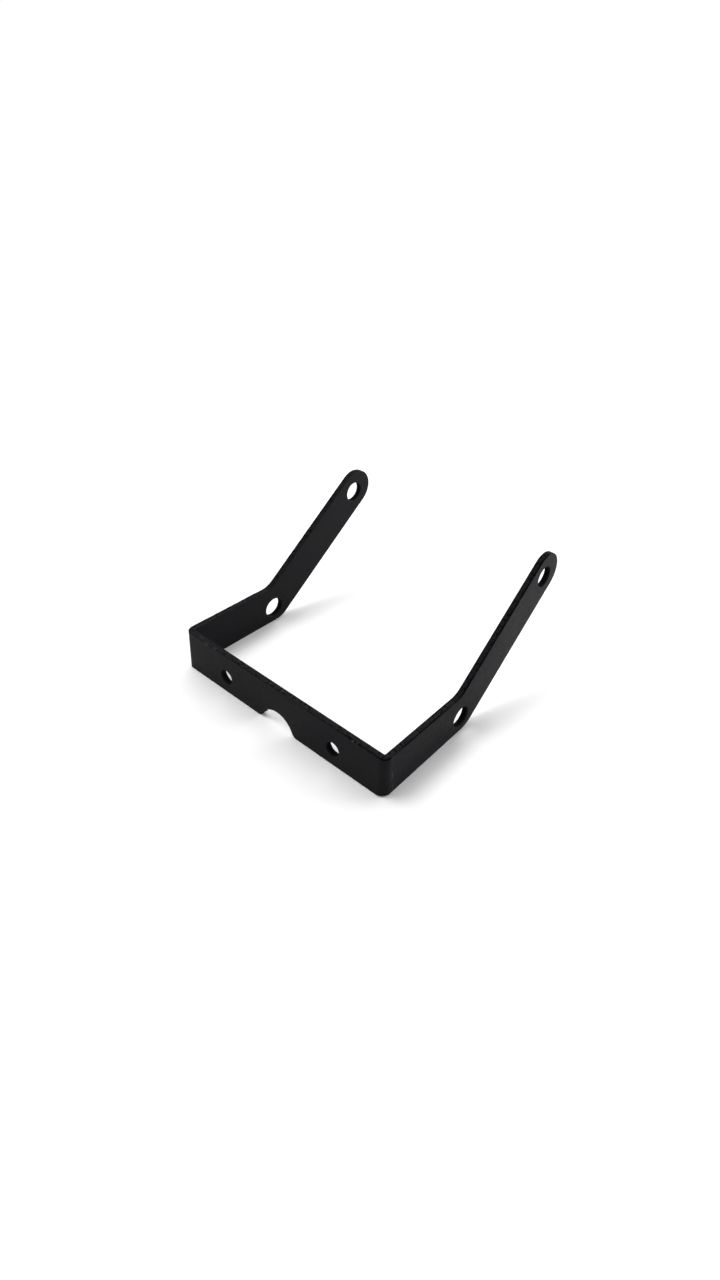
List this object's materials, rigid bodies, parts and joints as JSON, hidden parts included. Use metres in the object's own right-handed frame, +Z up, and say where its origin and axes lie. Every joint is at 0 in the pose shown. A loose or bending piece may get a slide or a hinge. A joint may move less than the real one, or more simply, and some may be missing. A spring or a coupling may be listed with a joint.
{
  "type": "rear light bracket",
  "caption": "U-shaped bracket folded from black coated sheet steel: a front web carries a rear light, and kinked arms bolt to the tail of a motorbike.",
  "frame": {"origin": "on the web's outer face, midway between the lamp's bolt holes", "axes": "-Y out of the web's outer face, towards the lamp; +Y along the arms; +Z up, the way the arms rise; +X to the right for someone who faces the web"},
  "size_m": [0.1, 0.1002, 0.0542],
  "materials": {
    "bracket_coat": "satin"
  },
  "bodies": {
    "root": {"rear_light_bracket": "bracket_coat"}
  },
  "joints": []
}
